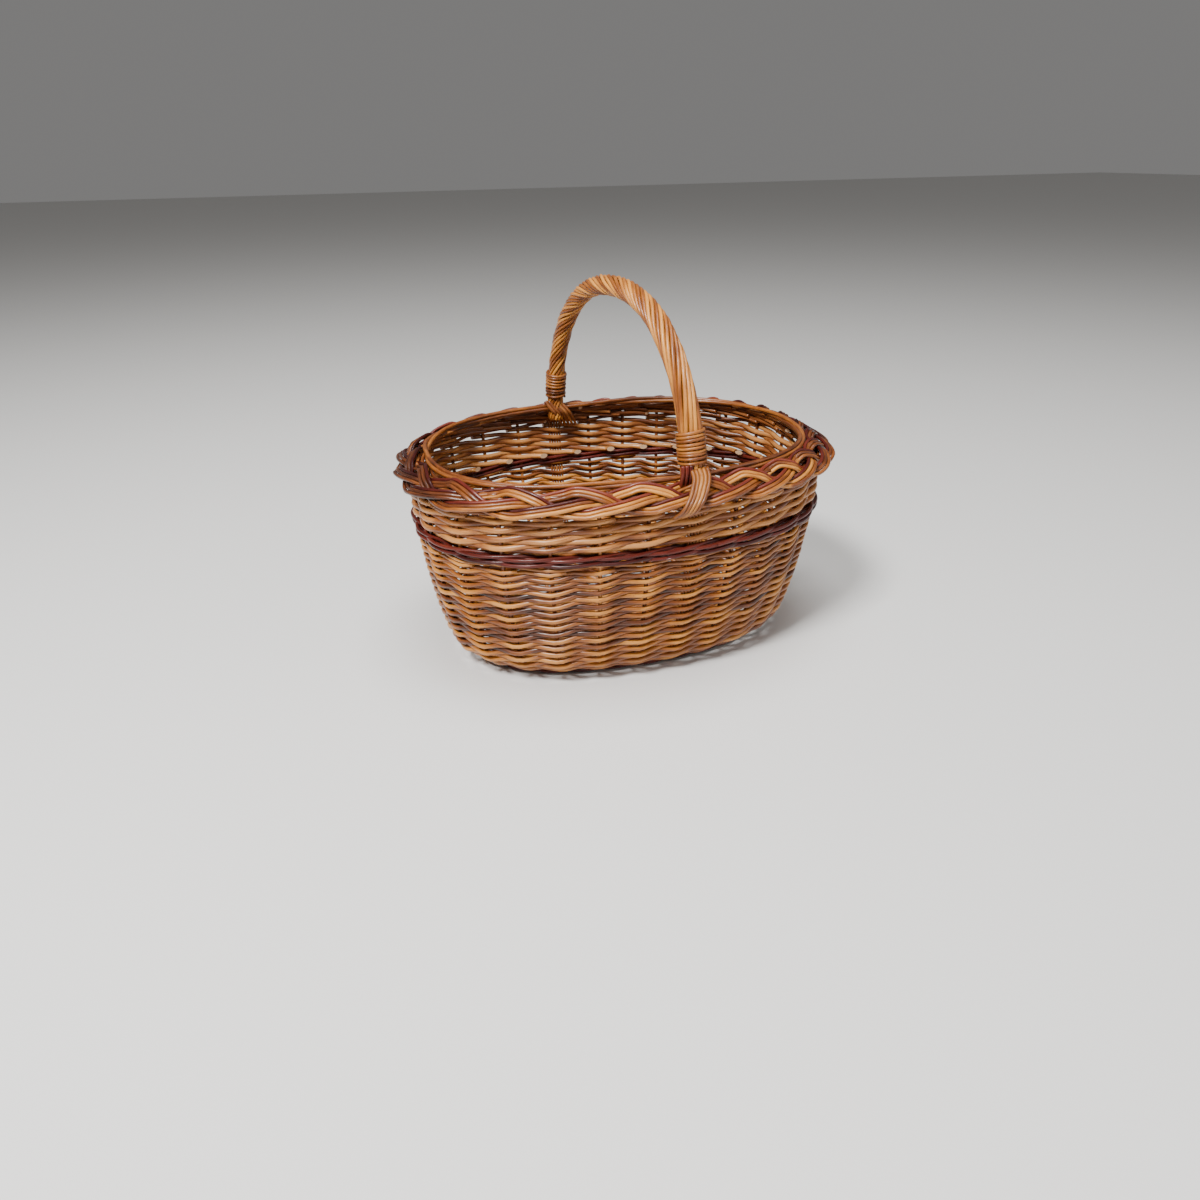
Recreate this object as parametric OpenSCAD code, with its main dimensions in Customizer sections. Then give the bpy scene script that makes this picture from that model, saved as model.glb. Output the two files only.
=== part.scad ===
// Oval woven willow basket with a roped cross handle.
// Millimetres. +Z is up, +X runs along the basket, and the origin is the middle of its underside.

/* [Overall size] */
// Length over the plaited border
basket_l = 450; // [430:5:470]
// Width over the plaited border
basket_w = 340; // [330:2:350]
// Height of the middle of the plaited border
border_z = 210; // [200:1:220]
// Height of the handle's centreline at the top of its arch
handle_top = 367; // [350:1:385]

/* [Wall] */
// Length of the wall's centreline where it leaves the base
foot_l = 303; // [300:1:320]
// Width of the wall's centreline where it leaves the base
foot_w = 169; // [166:1:184]
// Thickness of the woven wall
wall_t = 12; // [11:0.5:13]
// Radius of a side stake
stake_r = 2.3; // [2:0.1:2.6]
// Roundness of the oval in plan, where 2 is a true ellipse
oval_power = 2.35; // [2.2:0.05:2.5]

/* [Border] */
// Width of the plait across its three strands
plait_w = 35; // [32:1:36]
// Angle at which the plait slopes down and outwards
plait_slope = 31.6; // [28:1:35]
// Radius of the smooth rod along the border's inner edge
rim_rod_r = 3; // [2.6:0.2:3.2]

/* [Handle] */
// Half the distance between the handle's feet
handle_half_span = 141; // [139:1:142]
// Angle by which the handle stands across the basket's short axis
handle_turn = 12.2; // [10:0.2:14]
// Radius of the roped handle above its near foot
handle_near_r = 11.4; // [10:0.2:12]
// Radius of the roped handle above its far foot
handle_far_r = 9.2; // [8.6:0.2:10]

/* [Hidden] */

// Colours of the rods: golden, pale, shaded and dark willow
golden = [0.72, 0.46, 0.22];
pale = [0.85, 0.62, 0.36];
shaded = [0.58, 0.36, 0.18];
dark = [0.30, 0.09, 0.07];

// Clearance between pieces that touch on the real basket
gap = 0.25;
// How far the plait reaches outside and inside the wall's centreline
plait_out = 17.4;
plait_mid_offset = plait_out - plait_w / 2 * cos(plait_slope);

// Stations around the wall: one stake at each, and the handle's core rods at the two feet.
// There are 14 spaces from the near foot round the right end, and 13 back round the left.
right_spaces = 14;
left_spaces = 13;
stations = right_spaces + left_spaces;

// Heights of the woven bands
foot_wale_z = [0, 7];
lower_siding_z = [7.4, 143];
light_weaver_z = [143.4, 147];
middle_wale_z = [147.4, 158];
upper_siding_z = [158.4, 194];
top_wale_z = [194.4, 198.6];

// The wall leans out from the foot to the rim, and its foot is rounded under
corner_h = 27;
corner_r = 23;
belly = 2.1;
rim_half = [basket_l / 2 - plait_out, basket_w / 2 - plait_out];
foot_half = [foot_l / 2 + corner_r, foot_w / 2 + corner_r];

function signed_power(v, e) = sign(v) * pow(abs(v), e);
function rising(z, height) = min(max(z / height, 0), 1);
function corner_inset(z) = corner_r * pow(1 - rising(z, corner_h), 1.3);
function wall_half(z) =
    rim_half - (rim_half - foot_half) * pow(1 - rising(z, border_z), belly)
    - corner_inset(z) * [1, 1];

// A point on an oval and the outward normal there, at the oval's own angle t
function oval_point(half, t) = [
    half.x * signed_power(cos(t), 2 / oval_power),
    half.y * signed_power(sin(t), 2 / oval_power)
];
function oval_normal(half, t) =
    let (n = [
        signed_power(cos(t), 2 - 2 / oval_power) / half.x,
        signed_power(sin(t), 2 - 2 / oval_power) / half.y
    ])
    n / norm(n);

// A point at height z, set off outwards from the wall's centreline
function wall_point(t, off, z) =
    let (half = wall_half(z), p = oval_point(half, t) + off * oval_normal(half, t))
    [p.x, p.y, z];

// Distance round the rim as a share of its length, against the oval's angle
arc_steps = 360;
arc_points = [for (i = [0:arc_steps]) oval_point(rim_half, i * 360 / arc_steps)];
function arc_step(i) = i < arc_steps ? norm(arc_points[i + 1] - arc_points[i]) : 0;
arc_table = [
    for (i = 0, s = 0; i <= arc_steps; s = s + arc_step(i), i = i + 1)
        [s, i * 360 / arc_steps]
];
arc_total = arc_table[arc_steps][0];

// The near foot's place round the rim, and each station's place after it
near_foot_share = 0.7746;
function station_share(k) =
    let (m = k - stations * floor(k / stations))
    m < right_spaces ? m / right_spaces / 2 : 0.5 + (m - right_spaces) / left_spaces / 2;
function station_angle(k) =
    let (share = near_foot_share + station_share(k))
    lookup((share - floor(share)) * arc_total, arc_table);

// Outlines for swept rods, drawn counterclockwise
function round_outline(r, sides) = [for (i = [0:sides - 1]) r * [cos(i * 360 / sides), sin(i * 360 / sides)]];
function ring(centre, u, v, outline) = [for (p = outline) centre + p.x * u + p.y * v];
function unit(v) = v / norm(v);
function reversed(list) = [for (i = [len(list) - 1:-1:0]) list[i]];

// Rings for a rod that follows a path, with one side kept towards a hint direction
function path_tangent(path, i) = unit(path[min(i + 1, len(path) - 1)] - path[max(i - 1, 0)]);
function rod_rings(path, hint, r, sides) = [
    for (i = [0:len(path) - 1])
        let (t = path_tangent(path, i), u = unit(cross(hint, t)), v = cross(t, u))
        ring(path[i], u, v, round_outline(r, sides))
];

// A solid through a list of rings, closed into a loop or capped at both ends
module skin(rings, closed = false) {
    m = len(rings[0]);
    count = len(rings);
    sides = [
        for (k = [0:closed ? count - 1 : count - 2], j = [0:m - 1])
            let (a = k * m + j, b = k * m + (j + 1) % m, next = ((k + 1) % count) * m)
            each [[a, next + j, next + (j + 1) % m], [a, next + (j + 1) % m, b]]
    ];
    caps = closed ? [] : [
        [for (j = [0:m - 1]) j],
        [for (j = [m - 1:-1:0]) (count - 1) * m + j]
    ];
    polyhedron(points = [for (r = rings) each r], faces = concat(sides, caps), convexity = 10);
}

// A woven band as a closed oval wall, between two heights
module band(z, inner, outer, levels) {
    heights = [for (i = [0:levels]) z[0] + (z[1] - z[0]) * i / levels];
    skin([
        for (k = [0:0.5:stations - 0.5])
            let (t = station_angle(k))
            concat(
                [for (h = heights) wall_point(t, -inner, h)],
                [for (i = [levels:-1:0]) wall_point(t, outer, heights[i])]
            )
    ], closed = true);
}

// One upright rod in the wall, from the foot to a height near the border
stake_foot_z = 2.4;
stake_top_z = 202;
wall_steps = 6;
function wall_sideways(t) = let (n = oval_normal(wall_half(border_z), t)) [-n.y, n.x, 0];
function wall_route(t, shift, top) = [
    for (i = [0:wall_steps])
        let (z = stake_foot_z + (top - stake_foot_z) * pow(i / wall_steps, 1.4))
        wall_point(t, 0, z) + shift * wall_sideways(t)
];
module wall_rod(t, shift, r, top) {
    sideways = wall_sideways(t);
    skin(rod_rings(wall_route(t, shift, top), sideways, r, 6));
}

near_station = 0;
far_station = right_spaces;
function is_foot(k) = k == near_station || k == far_station;

// The handle's core: flat rows of five rods in the wall, gathered into a bundle in the handle
core_rod_r = 1.25;
core_pitch = 3.4;
core_count = 5;
core_wall_top_z = 196;
core_bundle_r = 3.4;
core_arch_steps = 18;

// Everything upright that passes through the woven bands
module uprights(extra) {
    for (k = [0:stations - 1]) {
        if (is_foot(k)) {
            for (i = [0:core_count - 1])
                wall_rod(station_angle(k), (i - 2) * core_pitch, core_rod_r + extra, stake_top_z);
        } else {
            wall_rod(station_angle(k), 0, stake_r + extra, stake_top_z);
        }
    }
}

module woven(z, inner, outer, levels) {
    difference() {
        band(z, inner, outer, levels);
        uprights(gap);
    }
}

// Base: long sticks pierce the cross sticks, with weaving packed round them
base_t = 9;
base_mid_z = 6.5;
long_stick_r = 2.6;
cross_stick_r = 3.8;
long_stick_pitch = 18;
cross_stick_pitch = 38;
base_edge = 3.8;
base_half = [foot_l / 2 - base_edge, foot_w / 2 - base_edge];

module long_sticks(extra) {
    for (i = [-1:1]) {
        reach = base_half.x * 0.97;
        translate([-reach, i * long_stick_pitch, base_mid_z])
            rotate([0, 90, 0]) cylinder(h = 2 * reach, r = long_stick_r + extra, $fn = 24);
    }
}

module cross_sticks(extra) {
    for (i = [-3:3]) {
        x = i * cross_stick_pitch;
        reach = 0.97 * base_half.y * pow(1 - pow(abs(x) / base_half.x, oval_power), 1 / oval_power);
        translate([x, reach, base_mid_z])
            rotate([90, 0, 0]) cylinder(h = 2 * reach, r = cross_stick_r + extra, $fn = 32);
    }
}

module base_long_sticks() {
    color(golden) long_sticks(0);
}

module base_cross_sticks() {
    color(shaded) difference() {
        cross_sticks(0);
        long_sticks(gap);
    }
}

module base_weave() {
    color(pale) difference() {
        translate([0, 0, base_mid_z - base_t / 2])
            linear_extrude(height = base_t) polygon([for (i = [0:71]) oval_point(base_half, i * 5)]);
        long_sticks(gap);
        cross_sticks(gap);
    }
}

// The foot: a dark wale round the base's edge, flat underneath
module foot_wale() {
    color(dark) woven(foot_wale_z, wall_t / 2, wall_t / 2, 1);
}

module side_stakes() {
    color(shaded)
        for (k = [0:stations - 1])
            if (!is_foot(k)) wall_rod(station_angle(k), 0, stake_r, stake_top_z);
}

module lower_siding() {
    color(golden) woven(lower_siding_z, wall_t / 2, wall_t / 2, 4);
}

module light_weaver() {
    color(pale) woven(light_weaver_z, wall_t / 2, wall_t / 2, 1);
}

module middle_wale() {
    color(dark) woven(middle_wale_z, wall_t / 2, wall_t / 2 + 1, 1);
}

module upper_siding() {
    color(golden) woven(upper_siding_z, wall_t / 2, wall_t / 2, 2);
}

module top_wale() {
    color(shaded) woven(top_wale_z, wall_t / 2, wall_t / 2, 1);
}

// Border: three flat strands that cross over and under one another, one crossing at each station
strand_w = 9;
strand_t = 3.4;
strand_sides = 8;
strand_steps = 4;
plait_lift = 3.3;
plait_across = [-cos(plait_slope), sin(plait_slope)];
plait_up = [sin(plait_slope), cos(plait_slope)];

function strand_centre(k, phase) =
    let (
        turn = 120 * k + phase,
        across = (plait_w - strand_w) / 2 * cos(turn),
        lift = plait_lift * sin(2 * turn),
        place = [plait_mid_offset, border_z] + across * plait_across + lift * plait_up
    )
    concat(oval_point(wall_half(border_z), station_angle(k))
        + place.x * oval_normal(wall_half(border_z), station_angle(k)), [place.y]);

function strand_outline() = [
    for (i = [0:strand_sides - 1])
        let (a = i * 360 / strand_sides)
        [strand_w / 2 * cos(a), strand_t / 2 * sin(a)]
];

function strand_rings(phase) = [
    for (i = [0:stations * strand_steps - 1])
        let (
            k = i / strand_steps,
            n = oval_normal(wall_half(border_z), station_angle(k)),
            up = [plait_up.x * n.x, plait_up.x * n.y, plait_up.y],
            t = unit(strand_centre(k + 0.1, phase) - strand_centre(k - 0.1, phase)),
            side = unit(cross(up, t))
        )
        ring(strand_centre(k, phase), side, cross(t, side), strand_outline())
];

// The strands part where the handle's core rods go down through the plait
module border_strand(phase) {
    difference() {
        skin(strand_rings(phase), closed = true);
        core_rods(gap);
    }
}

module border_strand_a() {
    color(golden) border_strand(0);
}

module border_strand_b() {
    color(pale) border_strand(120);
}

module border_strand_c() {
    color(shaded) border_strand(240);
}

// The smooth rod that finishes the border's inner edge
rim_rod_offset = plait_mid_offset - plait_w / 2 * cos(plait_slope) - rim_rod_r - gap;
rim_rod_z = border_z + plait_w / 2 * sin(plait_slope) - 1;
module border_inner_rod() {
    color(pale) skin([
        for (k = [0:0.5:stations - 0.5])
            let (
                t = station_angle(k),
                n = oval_normal(rim_half, t),
                p = oval_point(wall_half(border_z), t) + rim_rod_offset * n
            )
            ring([p.x, p.y, rim_rod_z], [0, 0, 1], [n.x, n.y, 0], round_outline(rim_rod_r, 6))
    ], closed = true);
}

// Handle arch, as a superellipse standing in a turned plane
handle_foot_z = 199;
handle_power = 2.2;
handle_start = 8.2;
arch_dir = [sin(handle_turn), -cos(handle_turn), 0];
arch_side = [cos(handle_turn), sin(handle_turn), 0];
function arch_point(a) =
    arch_dir * handle_half_span * signed_power(cos(a), 2 / handle_power)
    + [0, 0, handle_foot_z + (handle_top - handle_foot_z) * pow(sin(a), 2 / handle_power)];
function arch_tangent(a) = unit(arch_point(a + 0.5) - arch_point(a - 0.5));
function arch_up(a) = cross(arch_tangent(a), arch_side);
function rope_radius(a) = handle_near_r + (handle_far_r - handle_near_r) * rising(a, 110);

// The rope's turn, in degrees: slow above the near foot, quickest at the top
lay_near = 0.8;
lay_swing = 4.35;
lay_quick = lay_near + lay_swing;
lay_top = lay_near + 2 * lay_swing;
function lay_turn(a) =
    a < 90 ? lay_quick * a - lay_swing * sin(2 * a) * 90 / PI
           : lay_quick * 90 + lay_top * (a - 90);

// Where a core rod stands in the round bundle, in the order of the flat row
function bundle_angle(i) = i % 2 == 0 ? 162 - 36 * i : 198 + 36 * i;
function core_route(i) = concat(
    wall_route(station_angle(near_station), (i - 2) * core_pitch, core_wall_top_z),
    [
        for (j = [0:core_arch_steps])
            let (
                a = handle_start + (180 - 2 * handle_start) * j / core_arch_steps,
                spread = bundle_angle(i)
            )
            arch_point(a) + core_bundle_r * (cos(spread) * arch_side + sin(spread) * arch_up(a))
    ],
    reversed(wall_route(station_angle(far_station), (2 - i) * core_pitch, core_wall_top_z))
);
module core_rods(extra) {
    for (i = [0:core_count - 1])
        skin(rod_rings(core_route(i), arch_side, core_rod_r + extra, 6));
}

module handle_core_rods() {
    color(shaded) core_rods(0);
}

// One quarter of the rope: the rods that lie between two radial planes, wound along the arch
rope_steps = 60;
rope_gap_angle = 3;
rope_bore_r = 6.9;
module rope_quarter(quarter) {
    skin([
        for (j = [0:rope_steps])
            let (
                a = handle_start + (180 - 2 * handle_start) * j / rope_steps,
                from = lay_turn(a) + 90 * quarter + rope_gap_angle,
                sweep = 90 - 2 * rope_gap_angle,
                outer = [for (i = [0:3]) rope_radius(a) * [cos(from + sweep * i / 3), sin(from + sweep * i / 3)]],
                inner = [for (i = [1, 0]) rope_bore_r * [cos(from + sweep * i), sin(from + sweep * i)]]
            )
            ring(arch_point(a), arch_side, arch_up(a), concat(outer, inner))
    ]);
}

module handle_rods_a() {
    color(golden) rope_quarter(0);
}

module handle_rods_b() {
    color(pale) rope_quarter(1);
}

module handle_rods_c() {
    color(golden) rope_quarter(2);
}

module handle_rods_d() {
    color(shaded) rope_quarter(3);
}

// A collar is a rod wound round a foot of the handle
collar_t = 2.6;
collar_sides = 24;
module collar(from, to) {
    difference() {
        skin([
            for (a = [from, (from + to) / 2, to])
                ring(arch_point(a), arch_side, arch_up(a),
                    round_outline(rope_radius(a) + gap + collar_t, collar_sides))
        ]);
        skin([
            for (a = [from - (to - from) * 0.1, (from + to) / 2, to + (to - from) * 0.1])
                ring(arch_point(a), arch_side, arch_up(a),
                    round_outline(rope_radius(a) + gap, collar_sides))
        ]);
    }
}

collar_start = 8.6;
collar_span = 11;
module near_collar() {
    color(golden) collar(collar_start, collar_start + collar_span);
}

module far_collar() {
    color(golden) collar(180 - collar_start - collar_span, 180 - collar_start);
}

// A fan is the row of rod ends that leave a collar and bind the handle to the border.
// Its route is a list of [sideways, offset from the wall's centreline, height].
fan_rod_r = 1.6;
fan_pitch = 4.3;
near_fan_route = [[4, -5, 225], [2, 4, 221.5], [-4, 13, 214.5], [-10, 18.5, 206.5], [-16, 18.5, 198], [-20, 11, 191.5]];
far_fan_route = [[6, -18, 225], [2, -21.5, 219], [-4, -22, 212], [-10, -16, 203], [-15, -10, 194]];

function fan_point(t, spot, shift) =
    let (half = wall_half(border_z), n = oval_normal(half, t), p = oval_point(half, t) + spot[1] * n)
    [p.x - n.y * (spot[0] + shift), p.y + n.x * (spot[0] + shift), spot[2]];

module fan(station, route, count) {
    t = station_angle(station);
    n = oval_normal(rim_half, t);
    for (i = [0:count - 1]) {
        path = [for (spot = route) fan_point(t, spot, (i - (count - 1) / 2) * fan_pitch)];
        skin(rod_rings(path, [-n.y, n.x, 0], fan_rod_r, 6));
    }
}

module near_fan() {
    color(pale) fan(near_station, near_fan_route, 5);
}

module far_fan() {
    color(shaded) fan(far_station, far_fan_route, 5);
}

base_long_sticks();
base_cross_sticks();
base_weave();
foot_wale();
side_stakes();
lower_siding();
light_weaver();
middle_wale();
upper_siding();
top_wale();
border_strand_a();
border_strand_b();
border_strand_c();
border_inner_rod();
handle_core_rods();
handle_rods_a();
handle_rods_b();
handle_rods_c();
handle_rods_d();
near_collar();
far_collar();
near_fan();
far_fan();
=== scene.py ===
"""Oval willow basket: every woven band, the plaited border and the roped handle, rod by rod."""

import math
import random

import bmesh
import bpy
import numpy as np
from mathutils import Matrix, Vector


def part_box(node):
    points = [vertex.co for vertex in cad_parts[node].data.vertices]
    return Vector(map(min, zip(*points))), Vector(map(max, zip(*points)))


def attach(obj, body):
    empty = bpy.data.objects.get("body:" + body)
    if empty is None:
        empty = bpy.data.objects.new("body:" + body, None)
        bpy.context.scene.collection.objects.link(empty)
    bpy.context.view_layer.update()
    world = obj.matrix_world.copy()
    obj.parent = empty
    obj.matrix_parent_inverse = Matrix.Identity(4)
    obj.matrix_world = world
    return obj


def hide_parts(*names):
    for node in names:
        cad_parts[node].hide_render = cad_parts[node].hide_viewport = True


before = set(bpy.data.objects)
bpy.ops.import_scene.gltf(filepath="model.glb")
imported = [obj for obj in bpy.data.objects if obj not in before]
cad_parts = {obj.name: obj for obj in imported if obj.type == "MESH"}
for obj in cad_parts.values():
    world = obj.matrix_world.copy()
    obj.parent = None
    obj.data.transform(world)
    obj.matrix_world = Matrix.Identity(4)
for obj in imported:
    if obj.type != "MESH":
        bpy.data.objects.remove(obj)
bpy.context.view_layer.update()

bl_info = {
    "name": "Willow basket",
    "version": (1, 0, 0),
    "blender": (4, 5, 0),
    "location": "View3D > Sidebar > Basket",
    "description": "Weaves an oval willow basket with a plaited border and a roped handle",
    "category": "Add Mesh",
}

SEED = 27
MM = 0.001
BODY = "root"


# ---------------------------------------------------------------- the wall's shape

def half_size(node):
    """Half the length and width of a node's box."""
    low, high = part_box(node)
    return np.array([high[0] - low[0], high[1] - low[1]]) / 2


def z_range(node):
    """Lowest and highest point of a node."""
    low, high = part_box(node)
    return low[2], high[2]


WALL_T = 12 * MM
# Power of the oval: 2 is an ellipse, and more is squarer
OVAL_POWER = 2.35
# Height and inset of the rounded corner at the foot, and its power
CORNER_H = 27 * MM
CORNER_R = 23 * MM
CORNER_POWER = 1.3
# Power of the wall's lean from the rim down to the foot
BELLY = 2.1

# The plait's middle height is that of its strands, and the wall's rim is measured there
BORDER_Z = sum(z_range("border_strand_a")) / 2
RIM_HALF = half_size("top_wale") - WALL_T / 2

# 14 spaces between stakes from the near foot round the right end, 13 back round the left
RIGHT_SPACES = 14
LEFT_SPACES = 13
STATIONS = RIGHT_SPACES + LEFT_SPACES
NEAR_FOOT = 0
FAR_FOOT = RIGHT_SPACES
# The near foot's place round the rim, as a share of the way round
NEAR_FOOT_SHARE = 0.7746


def rising(z, height):
    """0 at the bottom and 1 from a height upwards."""
    return np.clip(np.asarray(z, float) / height, 0, 1)


def corner_inset(z):
    """How far the foot's rounded corner draws the wall in."""
    return CORNER_R * (1 - rising(z, CORNER_H)) ** CORNER_POWER


def foot_half():
    """The wall's half size at the floor, before its corner is rounded under."""
    top = z_range("foot_wale")[1]
    there = half_size("foot_wale") - WALL_T / 2 + corner_inset(top)
    return RIM_HALF - (RIM_HALF - there) / (1 - top / BORDER_Z) ** BELLY


FOOT_HALF = foot_half()


def wall_half(z):
    """Half length and half width of the wall's centreline at each height."""
    lean = (1 - rising(z, BORDER_Z)) ** BELLY
    inset = corner_inset(z)
    return [RIM_HALF[i] - (RIM_HALF[i] - FOOT_HALF[i]) * lean - inset for i in (0, 1)]


def signed_power(v, e):
    """A power that keeps the sign."""
    return np.sign(v) * np.abs(v) ** e


def oval_point(half, t):
    """Points of an oval at its own angle t."""
    e = 2 / OVAL_POWER
    return half[0] * signed_power(np.cos(t), e), half[1] * signed_power(np.sin(t), e)


def oval_normal(half, t):
    """Outward directions of an oval at its own angle t."""
    e = 2 - 2 / OVAL_POWER
    x = signed_power(np.cos(t), e) / half[0]
    y = signed_power(np.sin(t), e) / half[1]
    size = np.hypot(x, y)
    return x / size, y / size


def arc_table():
    """The oval's own angle against the distance round the rim."""
    t = np.linspace(0, 2 * math.pi, 721)
    x, y = oval_point(RIM_HALF, t)
    steps = np.hypot(np.diff(x), np.diff(y))
    return np.concatenate([[0], np.cumsum(steps)]), t


ARC, ARC_ANGLE = arc_table()


def station_angle(k):
    """The oval's own angle at station k, which may lie between two stakes."""
    k = np.asarray(k, float)
    turns = np.floor(k / STATIONS)
    m = k - STATIONS * turns
    right = m / RIGHT_SPACES / 2
    left = 0.5 + (m - RIGHT_SPACES) / LEFT_SPACES / 2
    share = NEAR_FOOT_SHARE + np.where(m < RIGHT_SPACES, right, left)
    return np.interp((share % 1) * ARC[-1], ARC, ARC_ANGLE)


def wall_points(k, off, z):
    """Points at stations k, set off outwards from the wall's centreline, at heights z."""
    k, off, z = np.broadcast_arrays(np.atleast_1d(np.asarray(k, float)), off, z)
    t = station_angle(k)
    half = wall_half(z)
    x, y = oval_point(half, t)
    nx, ny = oval_normal(half, t)
    return np.stack([x + off * nx, y + off * ny, z], axis=1)


def wall_sideways(k):
    """Direction along the wall at station k."""
    nx, ny = oval_normal(RIM_HALF, station_angle(k))
    return np.array([-ny, nx, 0.0])


# ---------------------------------------------------------------- making rods

def smooth_route(points, steps):
    """A Catmull-Rom curve through a few points."""
    p = np.array([2 * points[0] - points[1], *points, 2 * points[-1] - points[-2]])
    out = []
    for i in range(1, len(p) - 2):
        for f in np.arange(steps) / steps:
            out.append(0.5 * (2 * p[i] + (p[i + 1] - p[i - 1]) * f
                              + (2 * p[i - 1] - 5 * p[i] + 4 * p[i + 1] - p[i + 2]) * f ** 2
                              + (3 * p[i] - p[i - 1] - 3 * p[i + 1] + p[i + 2]) * f ** 3))
    out.append(p[-2])
    return np.array(out)


def drift(rng, count, size, step=6):
    """A slow random wander, one value per point."""
    knots = [rng.uniform(-size, size) for _ in range(count // step + 3)]
    return np.interp(np.arange(count) / step, np.arange(len(knots)), knots)


def ring_matrices(route, radii):
    """One matrix per point: a circle's plane square to the route, turned as little as possible."""
    tangents = np.gradient(route, axis=0)
    tangents /= np.linalg.norm(tangents, axis=1)[:, None]
    side = np.cross(tangents[0], [0.0, 0.0, 1.0])
    if np.linalg.norm(side) < 0.2:
        side = np.cross(tangents[0], [1.0, 0.0, 0.0])
    matrices = []
    for place, along, radius in zip(route, tangents, radii):
        side = side - along * np.dot(side, along)
        side = side / np.linalg.norm(side)
        other = np.cross(along, side)
        m = Matrix.Identity(4)
        for row in range(3):
            m[row][0] = side[row] * radius
            m[row][1] = other[row] * radius
            m[row][2] = along[row] * radius
            m[row][3] = place[row]
        matrices.append(m)
    return matrices


# How far a rod's end is cut aslant, over its radius
SLANT = 1.4
# Power by which the points of an upright rod crowd towards the foot, where the wall curves most
FOOT_CROWDING = 1.3


class RodPiece:
    """Collects rods into one mesh, with the grain and tone that the willow material reads."""

    def __init__(self, name):
        self.name = name
        self.whole = bmesh.new()
        self.scratch = bpy.data.meshes.new(name + "_rod")

    def rod(self, route, radii, rng, tone=0.5, sides=8, cut=(False, False)):
        """Sweeps a circle along a route, and closes both ends, each cut pale or left dark."""
        count = len(route)
        radii = np.broadcast_to(np.asarray(radii, float), (count,))
        matrices = ring_matrices(route, radii)
        for index, bare, slant in ((0, cut[0], -SLANT), (-1, cut[1], SLANT)):
            if bare:
                shear = Matrix.Identity(4)
                shear[2][0] = slant
                matrices[index] = matrices[index] @ shear
        tone = np.broadcast_to(np.asarray(tone, float), (count,))
        lengths = np.concatenate([[0], np.cumsum(np.linalg.norm(np.diff(route, axis=0), axis=1))])
        start = rng.uniform(0, 40)
        bm = bmesh.new()
        grain = bm.verts.layers.float_vector.new("grain")
        toned = bm.verts.layers.float.new("tone")
        pith = bm.verts.layers.float.new("pith")

        def mark(verts, index, bare):
            inverse = matrices[index].inverted()
            for v in verts:
                local = inverse @ v.co
                v[grain] = (start + lengths[index], local.x * radii[index], local.y * radii[index])
                v[toned] = tone[index]
                v[pith] = bare

        made = bmesh.ops.create_circle(bm, cap_ends=False, segments=sides, radius=1, matrix=matrices[0])
        verts = made["verts"]
        edges = list(bm.edges)
        mark(verts, 0, float(cut[0]))
        plan = list(range(count))
        if cut[0]:
            plan.insert(0, 0)
        if cut[1]:
            plan.append(count - 1)
        last = plan[0]
        for step, index in enumerate(plan[1:]):
            grown = bmesh.ops.extrude_edge_only(bm, edges=edges)["geom"]
            verts = [g for g in grown if isinstance(g, bmesh.types.BMVert)]
            edges = [g for g in grown if isinstance(g, bmesh.types.BMEdge)]
            move = matrices[index] @ matrices[last].inverted()
            bmesh.ops.transform(bm, matrix=move, verts=verts)
            at_cut = cut[1] and step == len(plan) - 2
            mark(verts, index, float(at_cut))
            last = index
        bmesh.ops.holes_fill(bm, edges=[e for e in bm.edges if e.is_boundary], sides=0)
        bmesh.ops.recalc_face_normals(bm, faces=bm.faces)
        for face in bm.faces:
            face.smooth = len(face.verts) == 4
        bm.to_mesh(self.scratch)
        bm.free()
        self.whole.from_mesh(self.scratch)

    def finish(self, nodes, slot):
        """Makes the object in the bark of its slot, parents it to the body, and hides the nodes it stands
        for.
        """
        mesh = bpy.data.meshes.new(self.name)
        self.whole.to_mesh(mesh)
        self.whole.free()
        bpy.data.meshes.remove(self.scratch)
        piece = bpy.data.objects.new(self.name, mesh)
        bpy.context.scene.collection.objects.link(piece)
        mesh.materials.append(BARKS[slot]())
        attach(piece, BODY)
        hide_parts(*nodes)


def tapered(count, butt, tip):
    return np.linspace(butt, tip, count)


def kink(s):
    """A wave that is +1 and -1 at the stakes and nearly straight between them."""
    sharp = 0.98
    return np.arcsin(sharp * np.cos(math.pi * s)) / math.asin(sharp)


# ---------------------------------------------------------------- materials

def new_node(tree, kind, **inputs):
    node = tree.nodes.new(kind)
    for key, value in inputs.items():
        node.inputs[key.replace("_", " ")].default_value = value
    return node


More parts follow.
